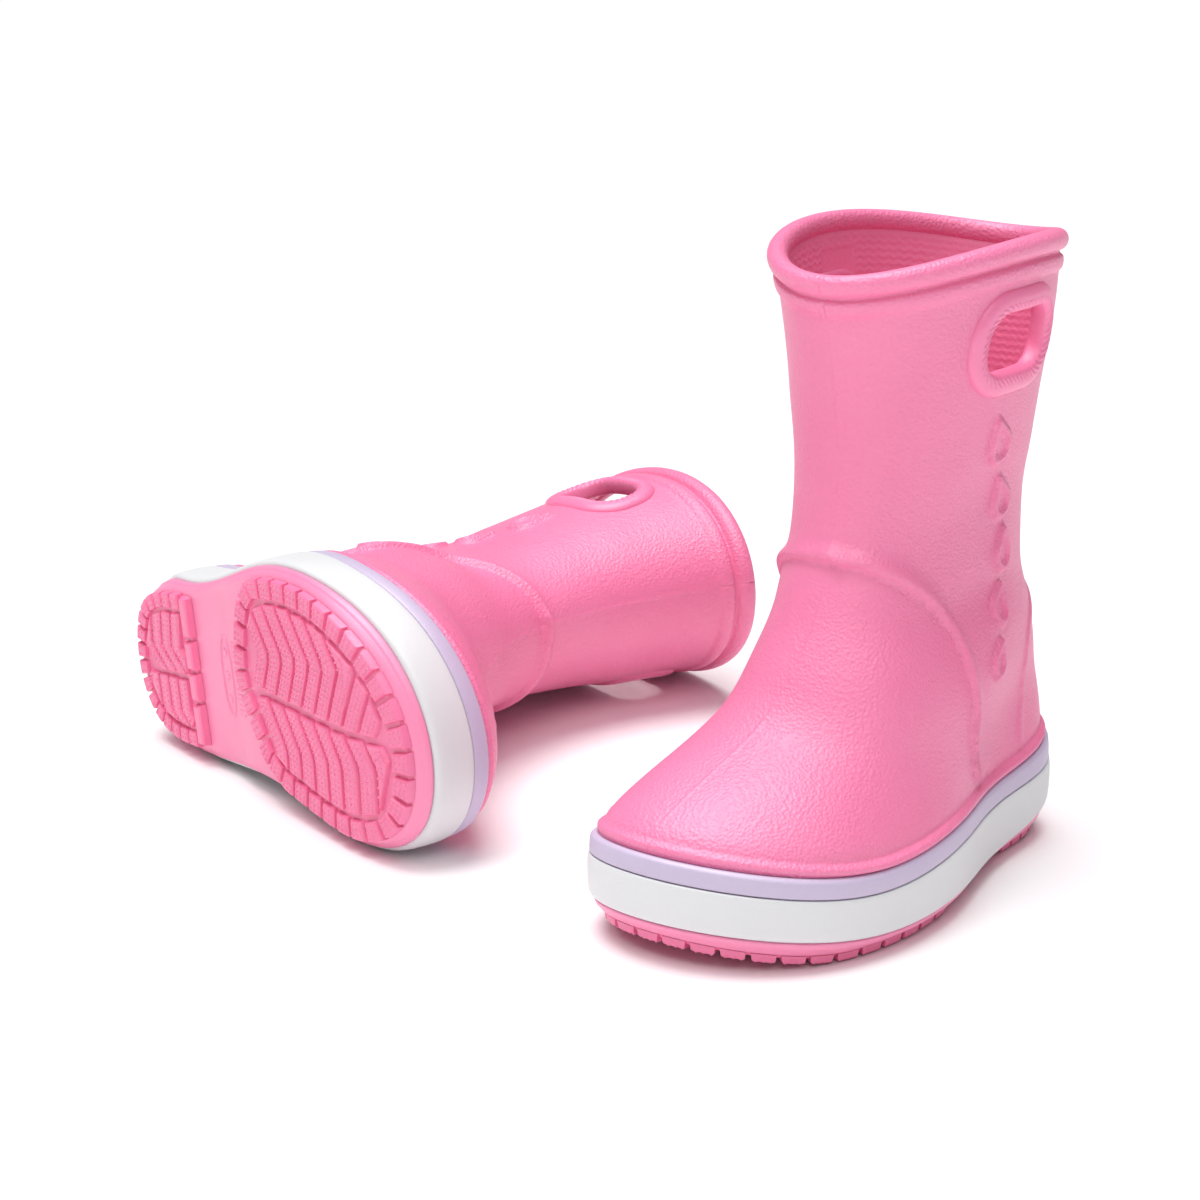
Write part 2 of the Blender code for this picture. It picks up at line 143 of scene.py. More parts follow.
def unit(v):
    return v / np.maximum(np.linalg.norm(v, axis=-1, keepdims=True), 1e-12)


def ground_z(x):
    x = np.asarray(x, float)
    return TOE_SPRING * np.clip((x - TOE_SPRING_FROM) / (FOOT_LENGTH - TOE_SPRING_FROM), 0, None) ** 1.7


def sole_z(x):
    x = np.asarray(x, float)
    arch = np.clip((x - HEEL_PAD_X[1]) / (FOREFOOT_PAD_X[0] - HEEL_PAD_X[1]), 0, 1)
    return ground_z(x) + TREAD_DEPTH + GAP + ARCH_RECESS * np.sin(math.pi * arch) ** 2


def share(s):
    return 0.5 * (1 + np.cos(PI2 * s))


def rim_z(s):
    return RIM_Z - RIM_SADDLE * np.cos(2 * PI2 * s)


def outline(s, offset=0.0):
    """The white band's line seen from above, moved out by offset: points (..., 2)."""
    def base(s):
        X = share(s)
        half = np.abs(np.sin(PI2 * s))
        y = np.where(np.sin(PI2 * s) >= 0, half * outer_fullness(X), -half * inner_fullness(X))
        y = y + TOE_SWING * np.clip((X - 0.45) / 0.55, 0, 1) ** 2
        return np.stack([FOOT_LENGTH * X, y], -1)
    s = np.asarray(s, float)
    t = unit(base(s + 2e-3) - base(s - 2e-3))
    return base(s) + np.asarray(offset)[..., None] * np.stack([t[..., 1], -t[..., 0]], -1)


def ring(s, offset, height):
    p = outline(s, offset)
    return np.concatenate([p, (height(p[..., 0]) + 0 * p[..., 0])[..., None]], -1)


def upper_at(s, h):
    """Outer face of the upper at angle s and share h of its height."""
    s, h = np.broadcast_arrays(np.asarray(s, float), np.asarray(h, float))
    h = np.clip(h, 0, 1)
    X = share(s)
    outer_side = np.sin(PI2 * s) >= 0
    widest = SHAPE["widest"](h)
    d = np.where(X > widest, (X - widest) / (1 - widest), (widest - X) / widest)
    power = np.where(X > widest, SHAPE["front_power"](h), SHAPE["back_power"](h))
    bow = np.sqrt(np.clip(1 - np.clip(d, 0, 1) ** power, 0, None))
    shaft_y = np.where(outer_side, SHAPE["outer"](h) * bow, -SHAPE["inner"](h) * bow)
    q = np.clip(h / TOE_TAPER_H, 0, 1)
    foot_y = outline(s, -LIP_INSET)[..., 1] * (1 - 0.35 * h - TOE_TAPER * 16 * q ** 2 * (1 - q) ** 2)
    m = np.clip(h / FOOT_BLEND, 0, 1)
    m = m * m * (3 - 2 * m)
    t = np.clip(h / 0.24, 0, 1)
    front = SHAPE["front"](h) + TOE_BULGE * t * (1 - t) ** 3
    x = SHAPE["back"](h) + (front - SHAPE["back"](h)) * X
    y = (1 - m) * foot_y + m * shaft_y
    z = LINE["stripe_top"](FOOT_LENGTH * X) * (1 - h) + rim_z(s) * h
    return np.stack([x, y, z], -1)


def tall(s):
    return rim_z(s) - LINE["stripe_top"](FOOT_LENGTH * share(s))


def normals(s, h):
    e = 1e-3
    ds = upper_at(s + e, h) - upper_at(s - e, h)
    dh = upper_at(s, np.clip(h + 2e-3, 0, 1)) - upper_at(s, np.clip(h - 2e-3, 0, 1))
    return unit(np.cross(ds, dh))


def flat_normals(s, h):
    e = 1e-3
    ds = upper_at(s + e, h) - upper_at(s - e, h)
    return unit(np.stack([ds[..., 1], -ds[..., 0], 0 * ds[..., 0]], -1))


# ------------------------------------------------------------------ placement in the row frame
def rows_of(box):
    return np.array([list(box[0]), list(box[1])])


coarse = np.arange(40) / 40
left_box = rows_of(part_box("left_midsole_band")) / MM
X0 = left_box[1, 0] - outline(coarse, 0.4)[:, 1].max()
Y0 = left_box[1, 1] - 0.4
RIGHT_R = np.array(Euler([math.radians(a) for a in RIGHT_TURN], "XYZ").to_matrix())
band_points = np.concatenate([ring(coarse, o, z) for o, z in (
    (-1.0, lambda x: LINE["band_low"](x) + GAP / 2), (0.4, lambda x: 0.5 * (LINE["band_low"](x) + LINE["stripe_low"](x))),
    (0.0, lambda x: LINE["stripe_low"](x) - GAP / 2))])
turned = np.stack([-band_points[:, 1], -band_points[:, 0], band_points[:, 2]], -1) @ RIGHT_R.T
right_box = rows_of(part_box("right_midsole_band")) / MM
RIGHT_T = np.array([X0 + RIGHT_OFFSET[0], Y0 + RIGHT_OFFSET[1], right_box[0, 2] - turned[:, 2].min()])
print("placement", X0, Y0, RIGHT_T, "box check", right_box[0] - (turned.min(0) + RIGHT_T))


def place(p, side):
    """Boot frame millimetres to the row frame in metres."""
    q = np.stack([side * p[..., 1], -p[..., 0], p[..., 2]], -1)
    if side > 0:
        return (q + np.array([X0, Y0, 0.0])) * MM
    return (q @ RIGHT_R.T + RIGHT_T) * MM


# ------------------------------------------------------------------ meshes
class Parts:
    """Collects quads, triangles and other faces of one mesh in the boot's frame."""

    def __init__(self):
        self.points, self.faces, self.count = [], [], 0

    def add(self, points, faces):
        points = np.asarray(points, float).reshape(-1, 3)
        self.points.append(points)
        self.faces += [tuple(int(i) + self.count for i in f) for f in faces]
        self.count += len(points)

    def loft(self, rows, keep=None, closed=True):
        """Closed columns; rows joined last to first if closed."""
        rows = np.asarray(rows, float)
        r, c = rows.shape[:2]
        i = np.arange(r if closed else r - 1)[:, None]
        j = np.arange(c)[None, :]
        i2, j2 = (i + 1) % r, (j + 1) % c
        quads = np.stack(np.broadcast_arrays(i * c + j, i * c + j2, i2 * c + j2, i2 * c + j), -1)
        if keep is not None:
            quads = quads[keep]
        quads = quads.reshape(-1, 4)
        self.add(rows.reshape(-1, 3), quads)


def build(name, side, parts, body, material, replaces=None, sharp=None):
    points = place(np.concatenate(parts.points), side)
    sizes = np.array([len(f) for f in parts.faces])
    flat = np.concatenate([np.array(f if side > 0 else f[::-1]) for f in parts.faces]) if len(set(sizes)) > 1 else (
        np.array(parts.faces)[:, :: (1 if side > 0 else -1)].reshape(-1))
    mesh = bpy.data.meshes.new(name)
    mesh.vertices.add(len(points))
    mesh.vertices.foreach_set("co", points.reshape(-1))
    mesh.loops.add(len(flat))
    mesh.loops.foreach_set("vertex_index", flat.astype(np.int32))
    mesh.polygons.add(len(sizes))
    mesh.polygons.foreach_set("loop_start", (np.cumsum(sizes) - sizes).astype(np.int32))
    mesh.update(calc_edges=True)
    mesh.validate()
    loose = np.ones(len(points), bool)
    loose[np.unique(flat)] = False
    if loose.any():
        import bmesh
        bm = bmesh.new()
        bm.from_mesh(mesh)
        bmesh.ops.delete(bm, geom=[v for v in bm.verts if not v.link_faces], context="VERTS")
        bm.to_mesh(mesh)
        bm.free()
    mesh.shade_smooth()
    if sharp:
        mesh.set_sharp_from_angle(angle=math.radians(sharp))
    mesh.materials.append(material)
    ob = bpy.data.objects.new(name, mesh)
    bpy.context.scene.collection.objects.link(ob)
    if replaces:
        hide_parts(*([replaces] if isinstance(replaces, str) else replaces))
    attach(ob, body)
    return ob


# ------------------------------------------------------------------ upper
COLUMNS = 404
knots = np.linspace(0, 1, 4001)
gap = np.minimum(knots, 1 - knots)
density = (1 + 2.4 * np.exp(-(gap / 0.008) ** 2) + 0.45 * smooth(0.11, 0.17, gap) * (1 - smooth(0.30, 0.34, gap)) - 0.45 * smooth(0.37, 0.4, gap))
cumulative = np.concatenate([[0], np.cumsum(0.5 * (density[1:] + density[:-1]))])
S = np.interp(np.arange(COLUMNS) / COLUMNS, cumulative / cumulative[-1], knots)
H_ALL = tall(S)


def slot_distance(x, z):
    """Distance outside the grip slot's edge in the side view."""
    qx = np.abs(x - GRIP_X) - (GRIP_LENGTH / 2 - GRIP_CORNER)
    qz = np.abs(z - GRIP_Z) - (GRIP_HEIGHT / 2 - GRIP_CORNER)
    return np.hypot(np.maximum(qx, 0), np.maximum(qz, 0)) + np.minimum(np.maximum(qx, qz), 0) - GRIP_CORNER


def grip_keep(rows, margin):
    """Cells to keep: all but those inside the grip slots, margin millimetres wider."""
    nxt = np.roll(rows, -1, 0)
    centre = 0.25 * (rows + nxt + np.roll(rows, -1, 1) + np.roll(nxt, -1, 1))
    inside = (slot_distance(centre[..., 0], centre[..., 2]) < margin) & (np.abs(centre[..., 1]) > 12)
    return ~inside


def surface_curve(points, closed=False, count=900):
    """Points (s, h) joined by a smooth curve on the upper."""
    pts = np.array(points, float)
    t = np.concatenate([[0], np.cumsum(np.hypot(np.diff(pts[:, 0]) * 330, np.diff(pts[:, 1]) * 176))])
    q = np.linspace(0, t[-1], count)
    return upper_at(natural(t, pts[:, 0])(q), np.clip(natural(t, pts[:, 1])(q), 0, 1))


def distance_to(curve, grid, reach):
    tree = KDTree(len(curve))
    for i, p in enumerate(curve):
        tree.insert(p, i)
    tree.balance()
    out = np.full(grid.shape[:2], 1e3)
    lo, hi = curve.min(0) - reach, curve.max(0) + reach
    near = np.all((grid > lo) & (grid < hi), -1)
    for i, j in zip(*np.nonzero(near)):
        out[i, j] = tree.find(grid[i, j])[2]
    return out


INSTEP = ((0.0, .452), (.046, .450), (.096, .435), (.151, .395), (.186, .338), (.206, .268), (.219, .2), (.235, .145), (.262, .08), (.292, .0))
COUNTER = ((.357, .0), (.3545, .06), (.353, .118), (.349, .19), (.3535, .235), (.375, .268), (.41, .288), (.455, .298), (.5, .3))


ROLL = monotone((-2.4, -1.3, -0.5, 0.1, 0.6, 1.3, 2.1, 3.0, 4.2, 5.8, 7.8, 9.5), (0, -.18, -.48, -.1, 1.0, 2.05, 2.45, 2.3, 1.6, .7, .16, 0))


def mirrored(points):
    return [(1 - s, h) for s, h in points]


def drop_distance(px, pz, height, radius, tip=0.9):
    """Signed distance to a raindrop with its round end down, centred on its middle."""
    h = height - radius - tip
    y = pz + height / 2 - radius
    x = np.abs(px)
    b = (radius - tip) / h
    a = math.sqrt(1 - b * b)
    k = -b * x + a * y
    low = np.hypot(x, y) - radius
    high = np.hypot(x, y - h) - tip
    middle = x * a + y * b - radius
    return np.where(k < 0, low, np.where(k > a * h, high, middle))


DROPS = ((59.6, 146.2, 24, 17.5, 6.2), (50.8, 125.6, 22, 16.0, 5.7), (48.2, 107.6, -6, 15.4, 5.5),
         (54.2, 90.6, -24, 14.4, 5.2), (61.6, 74.6, -27, 13.6, 4.9))


def raindrops(p):
    """Raised outlines of drops down the outer side."""
    x, y, z = p[..., 0], p[..., 1], p[..., 2]
    out = np.zeros(x.shape)
    for cx, cz, lean, height, radius in DROPS:
        a = math.radians(lean)
        u = (x - cx) * math.cos(a) - (z - cz) * math.sin(a)
        v = (x - cx) * math.sin(a) + (z - cz) * math.cos(a)
        d = drop_distance(u, v, height, radius)
        rise = 1 - smooth(-0.55, 0.35, d)
        dish = 1 - smooth(-2.75, -1.9, d)
        out = np.maximum(out, 1.6 * rise - 1.15 * dish)
    return out * (y > 8)


LIP = ((0.1, .75), (.32, 1.2), (.7, 1.56), (1.2, 1.74), (1.7, 1.72), (2.2, 1.52), (2.6, 1.15), (2.95, .62), (3.25, .08), (3.6, -.3), (4.05, -.34), (4.6, -.2), (5.2, -.07), (5.9, 0.0))
RIM = ((14.6, .02), (13.9, .12), (13.45, .42), (12.95, .82), (12.3, 1.1), (11.3, 1.24), (10.3, 1.26), (9.4, 1.15), (8.8, .9), (8.4, .45),
       (8.1, .0), (7.65, -.3), (7.2, -.22), (6.95, .2), (6.7, .75), (6.3, 1.25), (5.6, 1.78), (4.7, 2.12), (3.7, 2.26), (2.7, 2.1), (1.8, 1.7),
       (1.0, 1.02), (.45, .2), (.1, -.8), (0, -1.7), (.15, -2.6), (.6, -3.4), (1.3, -4.0), (2.2, -4.38), (3.4, -4.5), (4.6, -4.35), (5.5, -3.95),
       (6.2, -3.4), (6.8, -2.8))


def upper_piece():
    rows = [ring(S, -4.6, lambda x: LINE["footbed"](x) + GAP), ring(S, -4.6, lambda x: LINE["stripe_top"](x) - 0.6),
            ring(S, -4.6, lambda x: LINE["stripe_top"](x) + 0.05), ring(S, -2.9, lambda x: LINE["stripe_top"](x) + 0.05)]
    out2 = outline(S, 1.0) - outline(S, 0.0)
    out3 = np.concatenate([out2, np.zeros((COLUMNS, 1))], -1)
    seam_gap = np.where(S > 0.5, S - 1, S)
    for zz, proud in LIP:
        base = upper_at(S, zz / H_ALL)
        hold = 1 - smooth(1.8, 3.6, zz)
        held = upper_at(S, 0 * S)
        held[:, 2] = base[:, 2]
        p = base * (1 - hold) + held * hold
        nick = 0.35 * np.exp(-(seam_gap * 900 / 0.8) ** 2) if zz < 3.2 else 0.0 * S
        proud = proud * (1 - 0.5 * smooth(0.72, 0.98, share(S)))          # the lip is slighter round the toe
        rows.append(p + (proud - nick * (proud > 0.3))[..., None] * out3)

    # the body of the upper, between the lip and the rim
    steps = np.concatenate([np.linspace(6.6, 88, 86)[:-1], np.linspace(88, 160, 73)])
    grid_u = (steps - 6.6) / (160.6 - 6.6)
    h = np.array([(6.6 / H_ALL) * (1 - u) + (1 - 15.6 / H_ALL) * u for u in grid_u])
    s = np.broadcast_to(S, h.shape)
    base = upper_at(s, h)
    n = normals(s, h)
    arc = np.concatenate([np.zeros((len(h), 1)), np.cumsum(np.linalg.norm(np.diff(base, axis=1), axis=-1), 1)], 1)
    total = arc[:, -1:] + np.linalg.norm(base[:, :1] - base[:, -1:], axis=-1)
    arc = np.where(arc > total / 2, arc - total, arc)
    move = 0.22 * np.exp(-(arc / 0.55) ** 2) * (1 - smooth(0.86, 0.9, h)) * smooth(0.03, 0.06, h)
    # the shaft's edge rolls up over the vamp and drops to it in a crease
    edge_h = natural([q[0] for q in INSTEP], [q[1] for q in INSTEP])(np.minimum(s, 1 - s))
    for points in (INSTEP, mirrored(INSTEP)):
        d = distance_to(surface_curve(points), base, 11.0)
        e = np.where((h < edge_h) & (np.minimum(s, 1 - s) < 0.292), -d, d) + 0.9
        move = np.where(d < 10.5, move * (1 - bell(e - 1, 4.0)) + ROLL(e) * (1 - 0.2 * smooth(0.19, 0.26, np.minimum(s, 1 - s))), move)
    for points in (COUNTER, mirrored(COUNTER)):
        d = distance_to(surface_curve(points), base, 4.0)
        move = np.maximum(move, 0.75 * (1 - smooth(1.1, 2.1, d)))
    move = move + raindrops(base)
    # slight unevenness of a moulded part
    wave = (np.sin(PI2 * (2 * s + 1.3 * h)) + np.sin(PI2 * (3 * s - 2.1 * h) + 1.0) + np.sin(PI2 * (5 * s + 3.7 * h) + 2.0))
    move = move + 0.07 * wave
    rows += list(base + move[..., None] * n)

    for r, proud in RIM:
        base = upper_at(S, 1 - r / H_ALL)
        nick = 0.45 * np.exp(-(seam_gap * 330 / 0.55) ** 2) * (proud > 0.5)
        rows.append(base + (proud - nick)[..., None] * flat_normals(S, 1 - r / H_ALL))
    for r in [9.0, 12.0] + list(np.arange(15.0, 46.0, 2.4)) + list(np.arange(52.0, 164.0, 8.6)) + [164.0]:
        h = np.clip(1 - r / H_ALL, 0.02, 1)
        rows.append(upper_at(S, h) - 2.3 * normals(S, h))
    rows.append(ring(S, -6.8, lambda x: LINE["footbed"](x) + 6.0))
    rows.append(ring(S, -6.8, lambda x: LINE["footbed"](x) + GAP))
    rows = np.array(rows)
    parts = Parts()
    parts.loft(rows, grip_keep(rows, 2.2))
    return parts


def lining_piece():
    """The inside of the shaft and foot, with its fine zigzag relief, and the smooth label panel."""
    fine = np.arange(7.2, 92.0, 0.64)
    rs = np.concatenate([[5.2, 6.4], fine, np.linspace(93.5, 165, 26)])
    rows = []
    part_round = np.cumsum(np.linalg.norm(np.roll(upper_at(S, 0.9 + 0 * S), -1, 0) - upper_at(S, 0.9 + 0 * S), axis=-1))
    around = np.concatenate([[0], part_round[:-1]]) / part_round[-1]
    for r in rs:
        h = np.clip(1 - r / H_ALL, 0.012, 1)
        zig = np.abs((around * 70) % 1.0 - 0.5) * 2
        v = ((r + 1.25 * zig) / 2.45) % 1.0
        relief = 0.42 * np.sin(math.pi * v) ** 0.8 * smooth(7.0, 8.5, r) * (1 - smooth(84, 92, r))
        u = (around - LABEL[0]) * part_round[-1]
        w = r - LABEL[1]
        edge = np.maximum(np.abs(u) - LABEL[2] / 2, np.abs(w) - LABEL[3] / 2)
        inside = 1 - smooth(-0.3, 0.3, edge)
        ridge = 0.5 * bell(edge, 0.9)
        relief = relief * (1 - inside) + 0.15 * inside
        relief = np.maximum(relief, ridge)
        rows.append(upper_at(S, h) - (3.05 + relief)[..., None] * normals(S, h))
    rows.append(ring(S, -7.7, lambda x: LINE["footbed"](x) + 5.5))
    rows.append(ring(S, -7.9, lambda x: LINE["footbed"](x) + 0.9))
    rows.append(ring(S, -7.2, lambda x: LINE["footbed"](x) + 0.9))
    for r in list(np.arange(164.0, 48.0, -7.2)) + list(np.arange(45.0, 14.0, -2.0)) + [10.0, 6.4, 5.2]:
        h = np.clip(1 - r / H_ALL, 0.012, 1)
        rows.append(upper_at(S, h) - 2.5 * normals(S, h))
    rows = np.array(rows)[::-1]
    parts = Parts()
    parts.loft(rows, grip_keep(rows, 1.5))
    return parts


LABEL = (0.725, 20.0, 19.0, 17.0)      # middle round the shaft, depth below the rim, width, height


# ------------------------------------------------------------------ grip collars
def on_side(x, z, outer):
    """(s, h) of the point of the upper at x, z in the side view."""
    h = (z - 32.0) / 176.0
    for _ in range(12):
        X = np.clip((x - SHAPE["back"](h)) / (SHAPE["front"](h) - SHAPE["back"](h)), 1e-4, 1 - 1e-4)
        s = np.arccos(2 * X - 1) / PI2
        s = s if outer else 1 - s
        st = LINE["stripe_top"](FOOT_LENGTH * X)
        h = (z - st) / (rim_z(s) - st)
    return s, h


def slot_path(e, count):
    """The grip slot's outline, e millimetres outside it, count points from an even walk round the slot itself."""
    a, b, c = GRIP_LENGTH / 2 - GRIP_CORNER, GRIP_HEIGHT / 2 - GRIP_CORNER, GRIP_CORNER
    lengths = np.array([2 * b, c * math.pi / 2, 2 * a, c * math.pi / 2] * 2)
    ends = np.cumsum(lengths)
    out = []
    for q in np.arange(count) / count * ends[-1]:
        k = int(np.searchsorted(ends, q, side="right"))
        f = (q - (ends[k] - lengths[k])) / lengths[k]
        corner = [(a, b), (-a, b), (-a, -b), (a, -b)][(k // 2) % 4]
        angle = math.pi / 2 * (k // 2)
        if k % 2 == 0:                      # a straight run ends at its corner
            before = [(a, -b), (a, b), (-a, b), (-a, -b)][k // 2]
            x = before[0] + (corner[0] - before[0]) * f
            z = before[1] + (corner[1] - before[1]) * f
        else:
            x, z = corner
            angle += math.pi / 2 * f
        out.append((x + (c + e) * math.cos(angle), z + (c + e) * math.sin(angle)))
    return np.array(out)


COLLAR = ((7.3, -.7), (7.1, .1), (6.8, .7), (6.3, 1.2), (5.7, 1.6), (5.0, 1.92), (4.3, 2.12), (3.6, 2.22), (3.25, 2.2), (2.9, 2.2), (2.4, 2.17),
          (1.9, 2.1), (1.4, 1.97), (.95, 1.78), (.55, 1.45), (.22, 1.0), (.02, .35), (-.08, -.8), (-.05, -2.2),
          (.1, -3.2), (.4, -3.9), (1.0, -4.3), (1.8, -4.4), (2.6, -4.25), (3.2, -3.9), (3.5, -3.3), (3.3, -2.4), (4.5, -1.5), (6.4, -1.4))


def collar_piece(outer):
    count = 46 * 10
    along = np.arange(count) / 10.0
    rows = []
    low = 1.0 if outer else 0.55            # the inner side's collar stands less proud
    for e, n in COLLAR:
        rope = 0.0
        if 0.4 < e < 3.0 and n > 1.3:
            rope = 0.6 * np.abs(np.sin(math.pi * (along + (e - 1.9) * 0.45))) - 0.28
        xz = slot_path(e, count)
        s, h = on_side(xz[:, 0] + GRIP_X, xz[:, 1] + GRIP_Z, outer)
        rows.append(upper_at(s, h) + (n * (low if n > 0 else 1.0) + low * rope + 0 * s)[..., None] * normals(s, h))
    parts = Parts()
    rows = np.array(rows)
    parts.loft(rows if outer else rows[::-1])
    return parts


# ------------------------------------------------------------------ bands
def band_piece(profile):
    s = np.arange(480) / 480
    parts = Parts()
    parts.loft(np.array([ring(s, o, f) for o, f in profile]))
    return parts


def above(name, d):
    return lambda x: LINE[name](x) + d


def mixed(a, b, f):
    return lambda x: LINE[a](x) * (1 - f) + LINE[b](x) * f


WHITE_BAND = [(-4.25, above("band_low", .15)), (-1.9, above("band_low", .15)), (-1.2, above("band_low", .25)), (-.62, above("band_low", .6)),
              (-.22, above("band_low", 1.15)), (.05, above("band_low", 2.0)), (.3, mixed("band_low", "stripe_low", .32)),
              (.42, mixed("band_low", "stripe_low", .55)), (.36, above("stripe_low", -3.0)), (.22, above("stripe_low", -1.4)),
              (.1, above("stripe_low", -.75)), (-.12, above("stripe_low", -.35)), (-.5, above("stripe_low", -.18)), (-4.25, above("stripe_low", -.18))]
STRIPE = [(-4.25, above("stripe_low", .15)), (-1.0, above("stripe_low", .15)), (-.62, above("stripe_low", .22)), (-.36, above("stripe_low", .5)),
          (-.25, above("stripe_low", 1.0)), (-.33, mixed("stripe_low", "stripe_top", .5)), (-.6, above("stripe_top", -1.7)),
          (-.78, above("stripe_top", -1.25)), (-1.2, above("stripe_top", -.75)), (-1.75, above("stripe_top", -.35)),
          (-2.3, above("stripe_top", -.15)), (-4.25, above("stripe_top", -.12))]


def outsole_piece():
    s = np.arange(480) / 480

    def level(f):
        return lambda x: (LINE["band_low"](x) - 0.15) * (1 - f) + sole_z(x) * f
    rows = [ring(s, o, level(f)) for o, f in ((-4.6, 0), (-2.1, 0), (-1.75, .03), (-1.6, .1), (-1.75, .25), (-2.15, .42), (-2.25, .47),
                                              (-2.85, .52), (-3.0, .58), (-3.6, .75), (-4.3, .9), (-4.7, .96), (-5.2, 1.0))]
    rows += [ring(s, o, lambda x: sole_z(x) + 0.0 * x) for o in (-8.0,)]
    parts = Parts()
    parts.loft(np.array(rows)[::-1], closed=False)
    n = 480
    for at, flip in ((0, False), (len(rows) - 1, True)):
        first = at * n
        caps = [(0, 1, n - 1)] + [(i, i + 1, n - i - 1, n - i) for i in range(1, n // 2 - 1)] + [(n // 2 - 1, n // 2, n // 2 + 1)]
        for f in caps:
            f = tuple(first + i for i in f)
            parts.faces.append(f if not flip else f[::-1])
    return parts


# ------------------------------------------------------------------ tread
def inside_polygon(p, poly):
    x, y = p
    a, b = poly, np.roll(poly, -1, 0)
    cross = ((a[:, 1] > y) != (b[:, 1] > y)) & (x < (b[:, 0] - a[:, 0]) * (y - a[:, 1]) / (b[:, 1] - a[:, 1] + 1e-12) + a[:, 0])
    return bool(cross.sum() % 2)


def resample(points, step, closed=True):
    pts = np.array(points, float)
    if closed:
        pts = np.vstack([pts, pts[:1]])
    t = np.concatenate([[0], np.cumsum(np.linalg.norm(np.diff(pts, axis=0), axis=1))])
    count = max(int(round(t[-1] / step)), 2)
    q = np.arange(count) / count * t[-1] if closed else np.linspace(0, t[-1], count + 1)
    return np.stack([np.interp(q, t, pts[:, 0]), np.interp(q, t, pts[:, 1])], -1)


def relax(points, times, closed=True):
    pts = np.array(points, float)
    for _ in range(times):
        new = 0.25 * np.roll(pts, 1, 0) + 0.5 * pts + 0.25 * np.roll(pts, -1, 0)
        if not closed:
            new[0], new[-1] = pts[0], pts[-1]
        pts = new
    return pts


def inward(path, d, closed=True):
    """A path walked with the boot's middle on its left, moved d to the inside."""
    t = np.roll(path, -1, 0) - np.roll(path, 1, 0)
    if not closed:
        t[0], t[-1] = path[1] - path[0], path[-1] - path[-2]
    t = unit(relax(t, 12, closed))
    return path + d * np.stack([-t[:, 1], t[:, 0]], -1)


FACE = 0.46                             # the blocks' faces sit this far off the ground, the dots on them reach it


def block(parts, a, b, face=FACE, top=3.15, chamfer=0.42):
    """A block with its two long edges a and b facing each other point by point."""
    k = len(a)
    loop = np.vstack([a, b[::-1]])
    area = np.sum(loop[:, 0] * np.roll(loop[:, 1], -1) - np.roll(loop[:, 0], -1) * loop[:, 1])
    sign = 1.0 if area > 0 else -1.0
    e = unit(np.roll(loop, -1, 0) - loop)
    nrm = np.stack([-e[:, 1], e[:, 0]], -1) * sign
    before = np.roll(nrm, 1, 0)
    corner = unit(nrm + before)
    scale = 1 / np.maximum((corner * nrm).sum(1), 0.5)
    shrunk = loop + corner * (chamfer * scale)[:, None]
    grown = loop - corner * (0.3 * scale)[:, None]
    rings = [(grown, lambda x: ground_z(x) + top), (loop, lambda x: ground_z(x) + face + chamfer), (shrunk, lambda x: ground_z(x) + face)]
    pts = np.concatenate([np.column_stack([r, z(r[:, 0])]) for r, z in rings])
    m = 2 * k
    faces = []
    for j in range(2):
        for i in range(m):
            q = (i + 1) % m
            faces.append((j * m + i, j * m + q, (j + 1) * m + q, (j + 1) * m + i))
    for j, flip in ((0, True), (2, False)):
        for i in range(k - 1):
            f = (j * m + i, j * m + i + 1, j * m + m - i - 2, j * m + m - i - 1)
            faces.append(f[::-1] if flip else f)
    if sign > 0:                        # seen from below the walk turns over
        faces = [f[::-1] for f in faces]
    parts.add(pts, faces)


def dots_on(parts, a, b, across, spacing=2.0, margin=1.15, face=FACE, radius=0.6):
    """Rows of small studs between edges a and b."""
    k = len(a)
    mid = 0.5 * (a + b)
    t = np.concatenate([[0], np.cumsum(np.linalg.norm(np.diff(mid, axis=0), axis=1))])
    count = int((t[-1] - 2 * margin) / spacing) + 1
    if count < 1:
        return
    start = (t[-1] - (count - 1) * spacing) / 2
    for q in start + np.arange(count) * spacing:
        pa = np.array([np.interp(q, t, a[:, 0]), np.interp(q, t, a[:, 1])])
        pb = np.array([np.interp(q, t, b[:, 0]), np.interp(q, t, b[:, 1])])
        width = np.linalg.norm(pb - pa)
        n = across if width > across * 1.7 else max(int((width - 1.2) / 1.8) + 1, 0)
        for j in range(n):
            f = 0.5 if n == 1 else (margin + (width - 2 * margin) * j / (n - 1)) / width
            c = pa + (pb - pa) * f
            stud(parts, c, radius, face)


def stud(parts, c, radius, face, depth=None):
    g = float(ground_z(c[0]))
    angles = np.arange(6) * math.pi / 3
    depth = FACE if depth is None else depth
    low = np.column_stack([c[0] + radius * np.cos(angles), c[1] + radius * np.sin(angles), np.full(6, g + face + 0.08)])
    tip = np.column_stack([c[0] + radius * .55 * np.cos(angles), c[1] + radius * .55 * np.sin(angles), np.full(6, g + face - depth)])
    faces = [(i, 6 + i, 6 + (i + 1) % 6, (i + 1) % 6) for i in range(6)]
    faces.append(tuple(range(11, 5, -1)))
    faces.append(tuple(range(6)))
    parts.add(np.vstack([low, tip]), faces)


